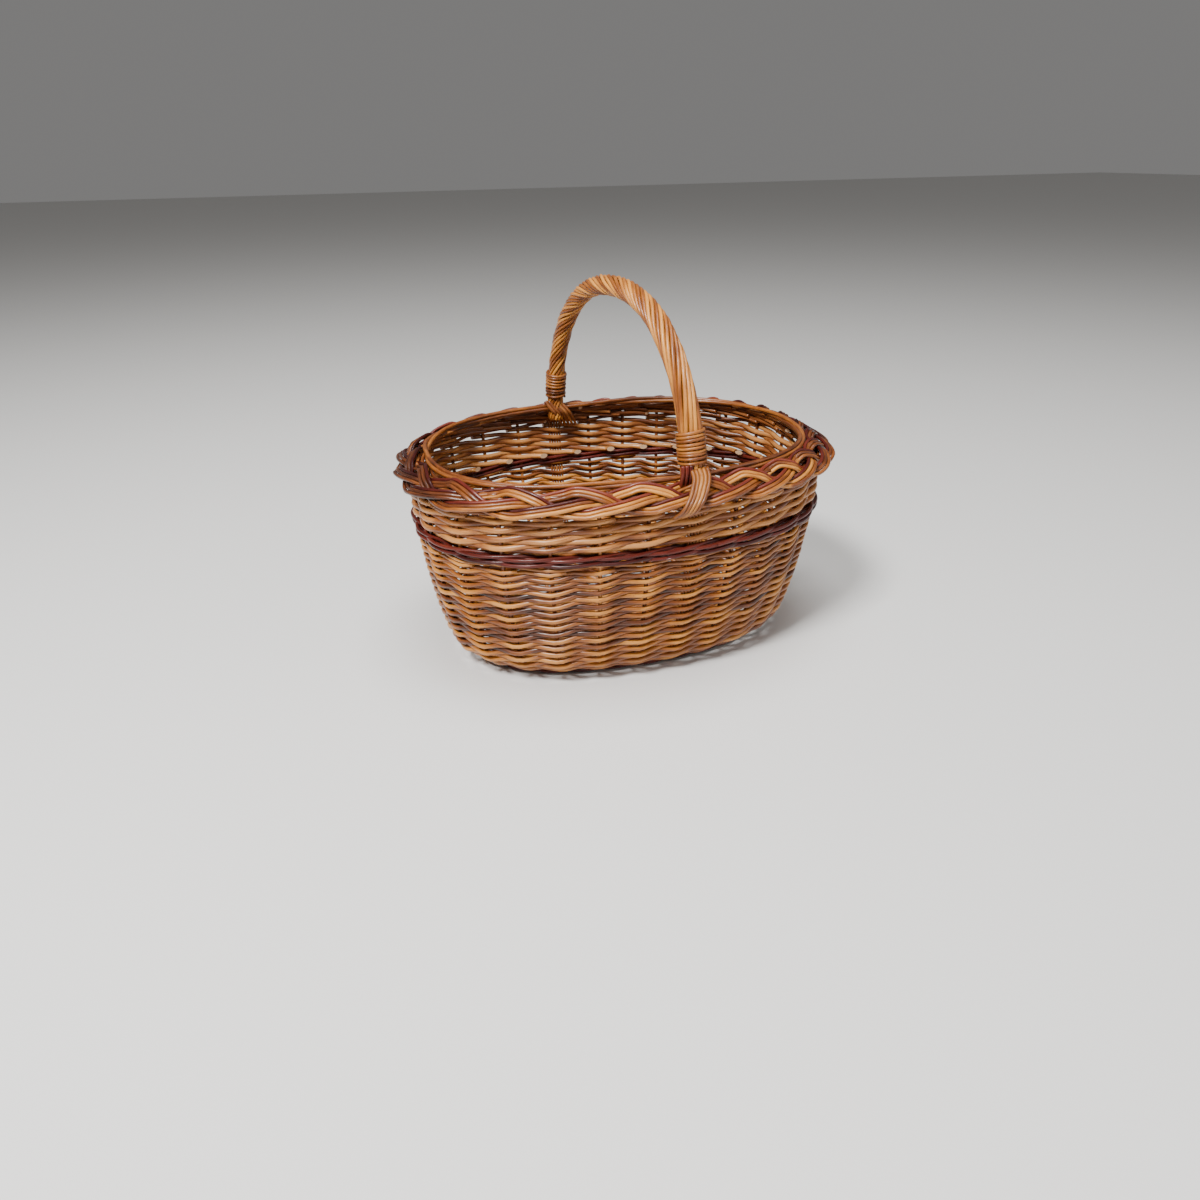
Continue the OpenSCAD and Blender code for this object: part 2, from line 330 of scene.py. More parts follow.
def willow(name, shades, sheen=0.4):
    """Varnished willow bark: colour by rod, from a tone that in the siding and plain rows also holds
    painted shade; streaks along it, specks, and pale pith where cut.
    """
    material = bpy.data.materials.get(name)
    if material:
        return material
    material = bpy.data.materials.new(name)
    material.use_nodes = True
    tree = material.node_tree
    link = tree.links.new
    surface = tree.nodes["Principled BSDF"]

    grain = tree.nodes.new("ShaderNodeAttribute")
    grain.attribute_name = "grain"
    tone = tree.nodes.new("ShaderNodeAttribute")
    tone.attribute_name = "tone"
    pith = tree.nodes.new("ShaderNodeAttribute")
    pith.attribute_name = "pith"

    def noise(scale, stretch, detail):
        squeeze = tree.nodes.new("ShaderNodeMapping")
        squeeze.inputs["Scale"].default_value = (scale, scale * stretch, scale * stretch)
        link(grain.outputs["Vector"], squeeze.inputs["Vector"])
        texture = new_node(tree, "ShaderNodeTexNoise", Scale=1.0, Detail=detail, Roughness=0.6)
        link(squeeze.outputs["Vector"], texture.inputs["Vector"])
        return texture.outputs["Fac"]

    def maths(kind, a, b):
        node = tree.nodes.new("ShaderNodeMath")
        node.operation = kind
        for socket, value in zip(node.inputs, (a, b)):
            if isinstance(value, (int, float)):
                socket.default_value = value
            else:
                link(value, socket)
        return node.outputs[0]

    patches = noise(22, 3, 3)
    streaks = noise(90, 16, 4)
    fibres = noise(300, 12, 3)
    shade = maths("ADD", tone.outputs["Fac"], maths("MULTIPLY", maths("SUBTRACT", patches, 0.5), 1.0))
    shade = maths("ADD", shade, maths("MULTIPLY", maths("SUBTRACT", streaks, 0.5), 0.8))

    ramp = tree.nodes.new("ShaderNodeValToRGB")
    stops = ramp.color_ramp.elements
    while len(stops) < len(shades):
        stops.new(0.5)
    for stop, (place, colour) in zip(stops, shades):
        stop.position = place
        stop.color = (*colour, 1)
    link(shade, ramp.inputs["Fac"])

    specks = tree.nodes.new("ShaderNodeTexVoronoi")
    specks.inputs["Scale"].default_value = 260
    link(grain.outputs["Vector"], specks.inputs["Vector"])
    speck = maths("LESS_THAN", specks.outputs["Distance"], 0.13)
    spotted = tree.nodes.new("ShaderNodeMix")
    spotted.data_type = "RGBA"
    spotted.blend_type = "MULTIPLY"
    spotted.inputs["B"].default_value = (0.45, 0.32, 0.25, 1)
    link(maths("MULTIPLY", speck, 0.6), spotted.inputs["Factor"])
    link(ramp.outputs["Color"], spotted.inputs["A"])

    bare = tree.nodes.new("ShaderNodeMix")
    bare.data_type = "RGBA"
    bare.inputs["B"].default_value = (0.62, 0.40, 0.23, 1)
    link(pith.outputs["Fac"], bare.inputs["Factor"])
    link(spotted.outputs["Result"], bare.inputs["A"])
    link(bare.outputs["Result"], surface.inputs["Base Color"])

    rough = maths("ADD", maths("MULTIPLY", streaks, 0.25), 0.26)
    link(rough, surface.inputs["Roughness"])
    surface.inputs["Coat Weight"].default_value = 0.18
    surface.inputs["Coat Roughness"].default_value = 0.16
    surface.inputs["Specular IOR Level"].default_value = sheen

    bump = tree.nodes.new("ShaderNodeBump")
    bump.inputs["Strength"].default_value = 0.35
    bump.inputs["Distance"].default_value = 0.0006
    height = maths("ADD", maths("MULTIPLY", streaks, 0.6), maths("MULTIPLY", fibres, 0.4))
    link(height, bump.inputs["Height"])
    link(bump.outputs["Normal"], surface.inputs["Normal"])
    return material


def golden_willow():
    return willow("golden_bark", [
        (0.05, (0.022, 0.005, 0.0018)), (0.35, (0.115, 0.028, 0.005)),
        (0.62, (0.27, 0.082, 0.012)), (0.95, (0.56, 0.23, 0.040))])


def pale_willow():
    return willow("pale_bark", [
        (0.05, (0.050, 0.012, 0.003)), (0.35, (0.16, 0.045, 0.008)),
        (0.62, (0.32, 0.110, 0.018)), (0.95, (0.60, 0.29, 0.075))])


def shaded_willow():
    return willow("shaded_bark", [
        (0.05, (0.022, 0.005, 0.0020)), (0.35, (0.105, 0.026, 0.006)),
        (0.62, (0.24, 0.073, 0.016)), (0.95, (0.50, 0.21, 0.055))])


def dark_willow():
    return willow("dark_bark", [
        (0.05, (0.018, 0.0018, 0.0011)), (0.40, (0.055, 0.0055, 0.0030)),
        (0.70, (0.105, 0.013, 0.007)), (0.95, (0.18, 0.034, 0.015))], sheen=0.25)


BARKS = {"golden_willow": golden_willow, "pale_willow": pale_willow,
         "shaded_willow": shaded_willow, "dark_willow": dark_willow}


# ---------------------------------------------------------------- settings

def length(name, description, default):
    return bpy.props.FloatProperty(name=name, description=description, default=default,
                                   min=0, subtype="DISTANCE", unit="LENGTH", precision=4)


class BasketRods(bpy.types.PropertyGroup):
    """Gauges of the rods and how far they swing round the stakes."""

    stake: length("Stake radius", "Radius of a side stake", 2.0 * MM)
    core: length("Core rod radius", "Radius of one of the handle's core rods", 1.35 * MM)
    core_pitch: length("Core rod pitch", "Spacing of the core rods where they lie flat", 3.1 * MM)
    butt: length("Siding butt radius", "Radius of a lower siding rod at its thick end", 2.45 * MM)
    tip: length("Siding tip radius", "Radius of a lower siding rod at its thin end", 1.75 * MM)
    upper: length("Upper siding radius", "Radius of an upper siding rod", 2.45 * MM)
    wale: length("Wale radius", "Radius of a dark wale rod", 2.0 * MM)
    plait: length("Plait rod radius", "Radius of a light rod in the plaited border", 2.0 * MM)
    plait_dark: length("Dark plait rod radius", "Radius of a dark rod in the plaited border", 1.9 * MM)
    rim: length("Rim rod radius", "Radius of the smooth rod on the border's inner edge", 3.0 * MM)
    handle_butt: length("Handle rod butt", "Radius of a wrapping rod at the near foot", 2.15 * MM)
    handle_tip: length("Handle rod tip", "Radius of a wrapping rod at the far foot", 1.65 * MM)
    collar: length("Collar rod radius", "Radius of the rod wound round each foot", 1.45 * MM)
    base: length("Base weaver radius", "Radius of the rods woven through the base", 1.7 * MM)
    sag: length("Sag", "How far a stroke is beaten down where it crosses a stake", 3.4 * MM)
    wander: length("Wander", "How far a rod strays from its even course", 0.45 * MM)
    siding_steps: bpy.props.IntProperty(
        name="Siding steps", description="Stakes that each lower siding rod climbs past", default=31, min=9)
    upper_steps: bpy.props.IntProperty(
        name="Upper steps", description="Stakes that each upper siding rod climbs past", default=7, min=3)


class BasketPlait(bpy.types.PropertyGroup):
    """Shape of the plaited border."""

    width: length("Width", "Width of the plait across its strands", 35 * MM)
    lift: length("Lift", "How far a strand rises over the one it crosses", 2.7 * MM)
    slope: bpy.props.FloatProperty(
        name="Slope", description="Angle at which the plait slopes down and outwards",
        default=math.radians(31.6), subtype="ANGLE", unit="ROTATION")


class BasketHandle(bpy.types.PropertyGroup):
    """Shape of the roped handle."""

    rods: bpy.props.IntProperty(
        name="Rods", description="Wrapping rods round the handle", default=13, min=8)
    near_turns: bpy.props.IntProperty(
        name="Near turns", description="Turns of the collar round the near foot", default=9, min=3)
    far_turns: bpy.props.IntProperty(
        name="Far turns", description="Turns of the collar round the far foot", default=8, min=3)
    turn: bpy.props.FloatProperty(
        name="Turn", description="Angle of the handle across the basket's short axis",
        default=math.radians(12.2), subtype="ANGLE", unit="ROTATION")


def rods():
    return bpy.context.scene.basket_rods


def rod_sides(radius):
    return 10 if radius > 1.9 * MM else 8


# ---------------------------------------------------------------- pieces of the wall

def stake_stations():
    return [k for k in range(STATIONS) if k not in (NEAR_FOOT, FAR_FOOT)]


def climbing_siding(name, node, slot, steps, butt, tip, swing, sag, tones, poke, seed):
    """French randing: a rod at every stake, each climbing one row per stake, front and back."""
    rng = random.Random(seed)
    low, high = z_range(node)
    piece = RodPiece(name)
    climb = (high - low - butt - tip) / ((butt + tip) / 2 * steps)
    per_step = 6
    for first in range(STATIONS):
        s = np.linspace(-0.6, steps + 0.3, int(per_step * (steps + 0.9)) + 1)
        wave = np.where(s < 0, -1, kink(s + 1))
        radii = tapered(len(s), butt, tip)
        off = swing * (rods().stake + radii) * wave + drift(rng, len(s), rods().wander)
        off = off - poke * np.clip(-0.3 - s, 0, None) / 0.3
        rise = climb * (butt * s - (butt - tip) * s ** 2 / (2 * steps))
        z = low + butt + rise + sag * (0.45 - np.abs(wave)) + drift(rng, len(s), rods().wander)
        z = np.clip(z, low + 0.6 * butt, high - 0.4 * tip)
        radii = radii * rng.uniform(1.08, 1.2)
        # A random tone per rod, drifting along it, plus painted shade: each stroke is darker where it
        # crosses the wall between two stakes, where the rods round it shade it, and lighter at the stakes
        tone = rng.uniform(*tones) + drift(rng, len(s), 0.14, 30) + 0.35 * (np.abs(wave) - 0.6)
        piece.rod(wall_points(first + s, off, z), radii, rng, tone, cut=(True, False))
    piece.finish([node], slot)


def wale(name, node, slot, radius, swing, climb, rounds, seed):
    """Three-rod waling: each rod passes outside two stakes and inside one, turning about the others."""
    rng = random.Random(seed)
    low, high = z_range(node)
    gap = (high - low) / rounds
    piece = RodPiece(name)
    for strand in range(3 * rounds):
        s = np.linspace(-0.6, STATIONS + 0.5, STATIONS * 6)
        turn = 2 * math.pi * (s - strand - 0.5) / 3
        off = swing * (0.25 + np.cos(turn)) + drift(rng, len(s), rods().wander)
        z = low + gap * (strand // 3 + 0.5) + climb * np.sin(turn) + drift(rng, len(s), rods().wander / 2)
        radii = tapered(len(s), radius * 1.08, radius * 0.9)
        z = np.maximum(z, low + radii)
        piece.rod(wall_points(s, off, z), radii, rng, rng.uniform(0.3, 0.7), cut=(True, False))
    piece.finish([node], slot)


def plain_rows(name, node, slot, radius, rows, seed):
    """Rows of plain weaving, each passing in front of one stake and behind the next."""
    rng = random.Random(seed)
    low = z_range(node)[0]
    piece = RodPiece(name)
    s = np.linspace(-0.4, STATIONS + 0.4, STATIONS * 6)
    for row in range(rows):
        wave = kink(s + row)
        off = 0.8 * (rods().stake + radius) * wave + drift(rng, len(s), rods().wander)
        rise = radius * (1 + 1.8 * row) - rods().sag * 0.3 * np.abs(wave)
        z = low + rise + drift(rng, len(s), rods().wander)
        # A random tone per row, plus painted shade: lighter where the row passes in front of a stake,
        # darker where it passes behind
        tone = rng.uniform(0.4, 0.65) + 0.1 * wave
        piece.rod(wall_points(s, off, z), tapered(len(s), radius, radius * 0.85), rng, tone)
    piece.finish([node], slot)


class BASKET_OT_stakes(bpy.types.Operator):
    """Stands the side stakes in the wall, and bends their tops over along the rim"""
    bl_idname = "basket.stakes"
    bl_label = "Side stakes"

    # Stations along, offset inwards and height below the plait's middle, where the top bends over
    bend = [(0, 0, -34), (0, 0, -24), (0, 0, -13), (0.1, 1, -8), (0.45, 3, -5), (1.1, 6, -2.5),
            (1.8, 8.5, -0.5), (2.5, 11, 1)]

    def execute(self, context):
        rng = random.Random(SEED + 1)
        low = z_range("side_stakes")[0] + rods().stake
        piece = RodPiece("side_stakes_willow")
        over = smooth_route(np.array(self.bend), 4)
        bend_z = BORDER_Z + self.bend[0][2] * MM
        for k in stake_stations():
            z = np.linspace(0, 1, 16)[:-1] ** FOOT_CROWDING * (bend_z - low) + low
            stations = np.concatenate([np.full(len(z), float(k)), k + over[:, 0]])
            off = np.concatenate([0 * z, -over[:, 1] * MM])
            height = np.concatenate([z, BORDER_Z + over[:, 2] * MM])
            off = off + drift(rng, len(off), rods().wander)
            radii = tapered(len(off), rods().stake * 1.04, rods().stake * 0.94)
            piece.rod(wall_points(stations, off, height), radii, rng, rng.uniform(0.3, 0.8))
        piece.finish(["side_stakes"], "shaded_willow")
        return {"FINISHED"}


class BASKET_OT_lower_siding(bpy.types.Operator):
    """Weaves the lower siding"""
    bl_idname = "basket.lower_siding"
    bl_label = "Lower siding"

    def execute(self, context):
        climbing_siding("lower_siding_willow", "lower_siding", "golden_willow", rods().siding_steps,
                        rods().butt, rods().tip, 0.8, rods().sag, (0.36, 0.86), 0, SEED + 2)
        return {"FINISHED"}


class BASKET_OT_upper_siding(bpy.types.Operator):
    """Weaves the open upper siding"""
    bl_idname = "basket.upper_siding"
    bl_label = "Upper siding"

    def execute(self, context):
        butt = rods().upper
        climbing_siding("upper_siding_willow", "upper_siding", "shaded_willow", rods().upper_steps,
                        butt, butt * 0.92, 0.75, rods().sag * 0.35, (0.55, 1.05), 6 * MM, SEED + 3)
        return {"FINISHED"}


class BASKET_OT_wales(bpy.types.Operator):
    """Weaves the dark foot wale and middle wale, and the single rows beside them"""
    bl_idname = "basket.wales"
    bl_label = "Wales and single rows"

    def execute(self, context):
        radius = rods().wale
        swing = 1.25 * (rods().stake + radius)
        wale("foot_wale_willow", "foot_wale", "dark_willow", radius * 0.9, swing, radius * 0.45, 1,
             SEED + 4)
        wale("middle_wale_willow", "middle_wale", "dark_willow", radius, swing, radius * 0.6, 2, SEED + 5)
        plain_rows("light_weaver_willow", "light_weaver", "pale_willow", 1.9 * MM, 2, SEED + 6)
        plain_rows("top_wale_willow", "top_wale", "shaded_willow", 2.15 * MM, 3, SEED + 7)
        return {"FINISHED"}


# ---------------------------------------------------------------- base

class BASKET_OT_base(bpy.types.Operator):
    """Makes the pierced sticks of the oval base and weaves round them"""
    bl_idname = "basket.base"
    bl_label = "Base"

    long_pitch = 18 * MM
    cross_pitch = 38 * MM

    def sticks(self, node, along, rows, pitch, radius, seed):
        """Straight sticks side by side, each as long as the oval allows there."""
        rng = random.Random(seed)
        half = half_size("base_weave")
        middle = sum(z_range(node)) / 2
        piece = RodPiece(node + "_willow")
        for row in rows:
            across = row * pitch
            share = (1 - (abs(across) / half[1 - along]) ** OVAL_POWER) ** (1 / OVAL_POWER)
            reach = 0.97 * half[along] * share
            route = np.zeros((12, 3))
            route[:, along] = np.linspace(-reach, reach, 12)
            route[:, 1 - along] = across
            route[:, 2] = middle
            piece.rod(route, radius, rng, rng.uniform(0.3, 0.7), sides=12, cut=(True, True))
        piece.finish([node], "shaded_willow")

    def spokes(self, core, d):
        """Where the sticks cross a round at distance d from the base's middle line."""
        crossings = []
        for i in range(-3, 4):
            over = max(0.0, abs(i * self.cross_pitch) - core)
            if over < d * 0.94:
                y = math.sqrt(d * d - over * over)
                crossings += [(i * self.cross_pitch, y), (i * self.cross_pitch, -y)]
        for i in (-1, 0, 1):
            if abs(i * self.long_pitch) < d * 0.94:
                x = core + math.sqrt(d * d - (i * self.long_pitch) ** 2)
                crossings += [(x, i * self.long_pitch), (-x, i * self.long_pitch)]
        return crossings

    def round_length(self, core, d, x, y):
        """Distance round a stadium-shaped round from its right end to a point on it."""
        quarter = math.pi * d / 2
        if abs(x) <= core:
            along = quarter + (core - x) if y > 0 else 3 * quarter + 2 * core + (x + core)
        elif x > core:
            along = (math.atan2(y, x - core) * d) % (4 * quarter + 4 * core)
        else:
            along = quarter + 2 * core + math.atan2(-x - core, y) * d
        return along

    def round_points(self, core, d, s, z):
        quarter = math.pi * d / 2
        total = 4 * quarter + 4 * core
        points = []
        for a, height in zip(s % total, z):
            if a < quarter:
                x, y = core + d * math.cos(a / d), d * math.sin(a / d)
            elif a < quarter + 2 * core:
                x, y = core - (a - quarter), d
            elif a < 3 * quarter + 2 * core:
                b = (a - quarter - 2 * core) / d
                x, y = -core - d * math.sin(b), d * math.cos(b)
            elif a < 3 * quarter + 4 * core:
                x, y = -core + (a - 3 * quarter - 2 * core), -d
            else:
                b = (a - 3 * quarter - 4 * core) / d
                x, y = core + d * math.sin(b), -d * math.cos(b)
            points.append((x, y, height))
        return np.array(points)

    def execute(self, context):
        low, high = z_range("base_cross_sticks")
        self.sticks("base_long_sticks", 0, (-1, 0, 1), self.long_pitch, 2.6 * MM, SEED + 8)
        self.sticks("base_cross_sticks", 1, range(-3, 4), self.cross_pitch, (high - low) / 2, SEED + 9)
        rng = random.Random(SEED + 10)
        half = half_size("base_weave")
        core = half[0] - half[1]
        low, high = z_range("base_weave")
        middle = (low + high) / 2
        radius = rods().base
        piece = RodPiece("base_weave_willow")
        d = radius * 2
        while d < half[1] - radius:
            total = 2 * math.pi * d + 4 * core
            places = sorted(self.round_length(core, d, x, y) for x, y in self.spokes(core, d))
            places = [places[-1] - total, *places, places[0] + total]
            s = np.linspace(0, total * 1.004, max(24, int(total / (6 * MM))))
            index = np.interp(s % total, places, np.arange(len(places)))
            swing = (high - low) / 2 - radius
            tone = rng.uniform(0.3, 0.8)
            for side in (0, 1):
                z = middle + swing * np.cos(math.pi * (index + side))
                piece.rod(self.round_points(core, d, s, z), radius, rng, tone, sides=6)
            d += radius * 1.95
        piece.finish(["base_weave"], "pale_willow")
        return {"FINISHED"}


# ---------------------------------------------------------------- border

# Most stations that the crossings run ahead, and the station where they are closest together
PLAIT_SHIFT = 1.1
PLAIT_QUICKEST = 9.5
# How long a strand lingers at the outer edge, how angular its zigzag is, and how tightly its rods lie
PLAIT_LINGER = 0.25
PLAIT_ZIGZAG = 0.7
PLAIT_SNUG = 0.97


def plait_frame(k, slope):
    """Outward, across and up directions of the sloping plait at stations k."""
    nx, ny = oval_normal(wall_half(BORDER_Z), station_angle(k))
    zero = np.zeros_like(nx)
    across = np.stack([-nx * math.cos(slope), -ny * math.cos(slope), zero + math.sin(slope)], axis=1)
    up = np.stack([nx * math.sin(slope), ny * math.sin(slope), zero + math.cos(slope)], axis=1)
    return across, up


def plait_shift(k):
    """How many stations the crossings run ahead of the stakes at stations k."""
    return PLAIT_SHIFT * np.sin(2 * math.pi * (k - PLAIT_QUICKEST) / STATIONS)


def plait_rod_route(k, phase, place, plait):
    """One rod of a strand, set off sideways from the strand's middle by place."""
    across, up = plait_frame(k, plait.slope)
    middle_off = PLAIT_OUT - plait.width / 2 * math.cos(plait.slope)
    middle = wall_points(k, middle_off, BORDER_Z)
    turn = 2 * math.pi * (k + plait_shift(k)) / 3 + phase
    # A strand drops quickly to the outer edge, lingers there and climbs back slowly
    turn = turn + PLAIT_LINGER * np.sin(turn - math.pi / 4)
    reach = plait.width / 2 - 3 * rods().plait
    wave = np.sin(2 * turn)
    lift = plait.lift * wave / np.sqrt(wave ** 2 + 0.25) * math.sqrt(1.25)
    swing = np.arcsin(PLAIT_ZIGZAG * np.cos(turn)) / math.asin(PLAIT_ZIGZAG)
    centre = middle + (reach * swing)[:, None] * across + lift[:, None] * up
    along = np.gradient(centre, axis=0)
    side = np.cross(up, along)
    side /= np.linalg.norm(side, axis=1)[:, None]
    return centre + place * side


# How far the plait reaches outside the wall's centreline
PLAIT_OUT = half_size("border_strand_a")[1] - RIM_HALF[1] + 0.6 * MM


class BASKET_OT_border(bpy.types.Operator):
    """Plaits the border: three strands of three rods"""
    bl_idname = "basket.border"
    bl_label = "Plaited border"

    def tones(self, rng, k, phase):
        """A rod is followed by another where it dives under, and the rods are darker round the ends."""
        stretch = np.floor(2 * (k + plait_shift(k)) / 3 + phase / math.pi + 0.25).astype(int) + 1
        picked = [rng.uniform(0.38, 0.92) for _ in range(stretch.max() + 1)]
        x, _ = oval_point(RIM_HALF, station_angle(k))
        ends = np.clip((np.abs(x) / RIM_HALF[0] - 0.72) / 0.28, 0, 1)
        return np.array(picked)[stretch] * (1 - 0.75 * ends)

    def execute(self, context):
        rng = random.Random(SEED + 11)
        plait = context.scene.basket_plait
        stout = rods().plait
        thin = rods().plait_dark
        k = np.linspace(0, STATIONS, STATIONS * 14 + 1)
        for strand, node in enumerate(("border_strand_a", "border_strand_b", "border_strand_c")):
            phase = strand * 2 * math.pi / 3
            light = RodPiece(node + "_light_rods")
            shade = RodPiece(node + "_dark_rod")
            for piece, radius, place in ((light, stout, -stout - thin), (light, stout, stout - thin),
                                         (shade, thin, 2 * stout)):
                route = plait_rod_route(k, phase, place * PLAIT_SNUG, plait)
                radii = radius * rng.uniform(0.89, 0.98)
                piece.rod(route, radii, rng, self.tones(rng, k, phase), sides=rod_sides(radius))
            light.finish([node], "golden_willow")
            shade.finish([node], "dark_willow")
        return {"FINISHED"}


class BASKET_OT_border_ends(bpy.types.Operator):
    """Tucks the butts of the plait's rods in along the inside, with their pale cut ends showing"""
    bl_idname = "basket.border_ends"
    bl_label = "Border ends"

    # Stations along, offset inwards, and height from the plait's middle
    routes = ([(-0.75, 10, -5), (-0.4, 8.5, -4), (0.2, 6, -2.5), (0.9, 3, 0)],
              [(-0.5, 14.5, 3.5), (-0.2, 12, 2), (0.4, 9, 1.5), (1.2, 5, 2.5)],
              [(-0.9, 7, -10.5), (-0.5, 7, -9), (0.1, 6, -7.5), (0.9, 4, -5)])

    def execute(self, context):
        rng = random.Random(SEED + 18)
        piece = RodPiece("border_ends_willow")
        for route in self.routes:
            path = smooth_route(np.array(route), 6)
            for k in range(STATIONS):
                off = -path[:, 1] * MM + drift(rng, len(path), rods().wander)
                z = BORDER_Z + path[:, 2] * MM + drift(rng, len(path), rods().wander)
                points = wall_points(k + path[:, 0] + rng.uniform(-0.25, 0.25), off, z)
                radius = rods().plait * rng.uniform(0.85, 1.05)
                piece.rod(points, radius, rng, rng.uniform(0.25, 0.8), cut=(rng.random() < 0.12, False))
        piece.finish(["border_strand_a"], "shaded_willow")
        return {"FINISHED"}


# Stations in which the two inner rods twist once round each other
RIM_TWIST = 9


class BASKET_OT_inner_rod(bpy.types.Operator):
    """Lays two smooth rods along the border's inner edge"""
    bl_idname = "basket.inner_rod"
    bl_label = "Inner rim rod"

    def execute(self, context):
        rng = random.Random(SEED + 12)
        low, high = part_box("border_inner_rod")
        radius = rods().rim
        z = (low[2] + high[2]) / 2
        inset = (high[0] - low[0]) / 2 - radius - wall_half(BORDER_Z)[0]
        piece = RodPiece("border_inner_rod_willow")
        k = np.linspace(0, STATIONS, STATIONS * 5 + 1)
        for first in (0, math.pi):
            turn = first + 2 * math.pi * k / RIM_TWIST + 0.5 * np.sin(k)
            rise = z + 0.62 * radius * np.sin(turn)
            level = wall_points(k, inset + 0.62 * radius * np.cos(turn), BORDER_Z)
            level[:, 2] = rise
            tone = rng.uniform(0.35, 0.6) + drift(rng, len(k), 0.12, 12)
            piece.rod(level, radius * 0.72, rng, tone)
        piece.finish(["border_inner_rod"], "golden_willow")
        return {"FINISHED"}


# ---------------------------------------------------------------- handle

# Power of the arch, its height at the feet, and half its span
HANDLE_POWER = 2.2
HANDLE_FOOT_Z = 199 * MM
HANDLE_SPAN = 141 * MM
# Angle on the arch at which the core rods leave the wall, and their height there
HANDLE_START = 8.2
CORE_WALL_TOP = 196 * MM
# Outer radius of the rope at the near foot, and from the far side of the top on
NEAR_R = 11.4 * MM
FAR_R = 9.2 * MM


class Arch:
    """The handle's arch, with a frame at each angle from the near foot (0) to the far foot (180)."""

    def __init__(self, turn):
        self.out = np.array([math.sin(turn), -math.cos(turn), 0.0])
        self.side = np.array([math.cos(turn), math.sin(turn), 0.0])
        self.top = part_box("handle_rods_a")[1][2] - 9.5 * MM

    def points(self, a):
        a = np.radians(a)
        reach = HANDLE_SPAN * signed_power(np.cos(a), 2 / HANDLE_POWER)
        rise = (self.top - HANDLE_FOOT_Z) * np.sin(a) ** (2 / HANDLE_POWER)
        return reach[:, None] * self.out + np.stack([0 * rise, 0 * rise, HANDLE_FOOT_Z + rise], axis=1)

    def around(self, a, radius, angle):
        """Points at a distance and an angle round the arch's centreline."""
        a, radius, angle = np.broadcast_arrays(np.asarray(a, float), radius, angle)
        ahead = self.points(a + 0.5) - self.points(a - 0.5)
        ahead /= np.linalg.norm(ahead, axis=1)[:, None]
        up = np.cross(ahead, self.side)
        return (self.points(a) + (radius * np.cos(angle))[:, None] * self.side
                + (radius * np.sin(angle))[:, None] * up)


def rope_radius(a):
    """Outer radius of the rope at an angle on the arch."""
    return NEAR_R + (FAR_R - NEAR_R) * rising(a, 110)


def lay_turn(a):
    """How far the rope has turned: slowly above the near foot, quickest from the top onwards."""
    slow, swing = 0.8, 4.35
    first = (slow + swing) * a - np.degrees(swing * np.sin(np.radians(2 * a)) / 2)
    rest = (slow + swing) * 90 + (slow + 2 * swing) * (a - 90)
    return np.radians(np.where(a < 90, first, rest))


class BASKET_OT_handle(bpy.types.Operator):
    """Winds the handle's rods round its core"""
    bl_idname = "basket.handle"
    bl_label = "Roped handle"

    def execute(self, context):
        rng = random.Random(SEED + 13)
        handle = context.scene.basket_handle
        arch = Arch(handle.turn)
        groups = ["handle_rods_a", "handle_rods_b", "handle_rods_c", "handle_rods_d"]
        per_group = handle.rods / len(groups)
        pieces = {node: RodPiece(node + "_willow") for node in groups}
        a = np.linspace(1.2, 178.8, 180)
        for i in range(handle.rods):
            radii = np.interp(a, [0, 90, 180], [rods().handle_butt, rods().handle_tip, rods().handle_tip])
            radii = radii * rng.uniform(0.95, 1.05)
            angle = lay_turn(a) + 2 * math.pi * i / handle.rods + drift(rng, len(a), 0.05, 12)
            route = arch.around(a, rope_radius(a) - radii + drift(rng, len(a), 0.5 * MM, 12), angle)
            piece = pieces[groups[int(i / per_group)]]
            piece.rod(route, radii, rng, rng.uniform(0.5, 1.05), sides=rod_sides(rods().handle_butt))
        for node in groups:
            pieces[node].finish([node], "golden_willow")
        return {"FINISHED"}


class BASKET_OT_handle_core(bpy.types.Operator):
    """Runs the core rods up through the wall at both feet and over the arch"""
    bl_idname = "basket.handle_core"
    bl_label = "Handle core"

    def execute(self, context):
        rng = random.Random(SEED + 14)
        arch = Arch(context.scene.basket_handle.turn)
        pitch = rods().core_pitch
        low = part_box("handle_core_rods")[0][2] + 1 * MM
        wall_z = low + (CORE_WALL_TOP - low) * np.linspace(0, 1, 14) ** FOOT_CROWDING
        a = np.linspace(HANDLE_START, 180 - HANDLE_START, 40)
        piece = RodPiece("handle_core_willow")
        for i in range(-2, 3):
            spread = math.radians(90 - 36 * i if i % 2 == 0 else 270 + 36 * i)
            near = wall_points(NEAR_FOOT, 0, wall_z) + i * pitch * wall_sideways(NEAR_FOOT)
            far = wall_points(FAR_FOOT, 0, wall_z) - i * pitch * wall_sideways(FAR_FOOT)
            over = arch.around(a, 3.4 * MM, spread)
            route = np.concatenate([near, over, far[::-1]])
            piece.rod(route, rods().core, rng, rng.uniform(0.5, 0.85))
        piece.finish(["handle_core_rods"], "shaded_willow")
        return {"FINISHED"}


class BASKET_OT_collars(bpy.types.Operator):
    """Winds the collar rod round each foot of the handle"""
    bl_idname = "basket.collars"
    bl_label = "Collars"

    def execute(self, context):
        rng = random.Random(SEED + 15)
        handle = context.scene.basket_handle
        arch = Arch(handle.turn)
        start, span = 8.6, 11.0
        for node, turns, first in (("near_collar", handle.near_turns, start),
                                   ("far_collar", handle.far_turns, 180 - start - span)):
            radius = rods().collar
            steps = turns * 20
            a = np.linspace(first + 0.6, first + span - 0.6, steps)
            angle = 2 * math.pi * turns * np.linspace(0, 1, steps) + 0.6
            out = rope_radius(a) + radius * 0.8 + drift(rng, steps, 0.4 * MM)
            a = a + drift(rng, steps, 0.35, 9)
            tone = 0.55 + drift(rng, steps, 0.2, 20)
            piece = RodPiece(node + "_willow")
            piece.rod(arch.around(a, out, angle), radius, rng, tone)
            piece.finish([node], "golden_willow")
        return {"FINISHED"}


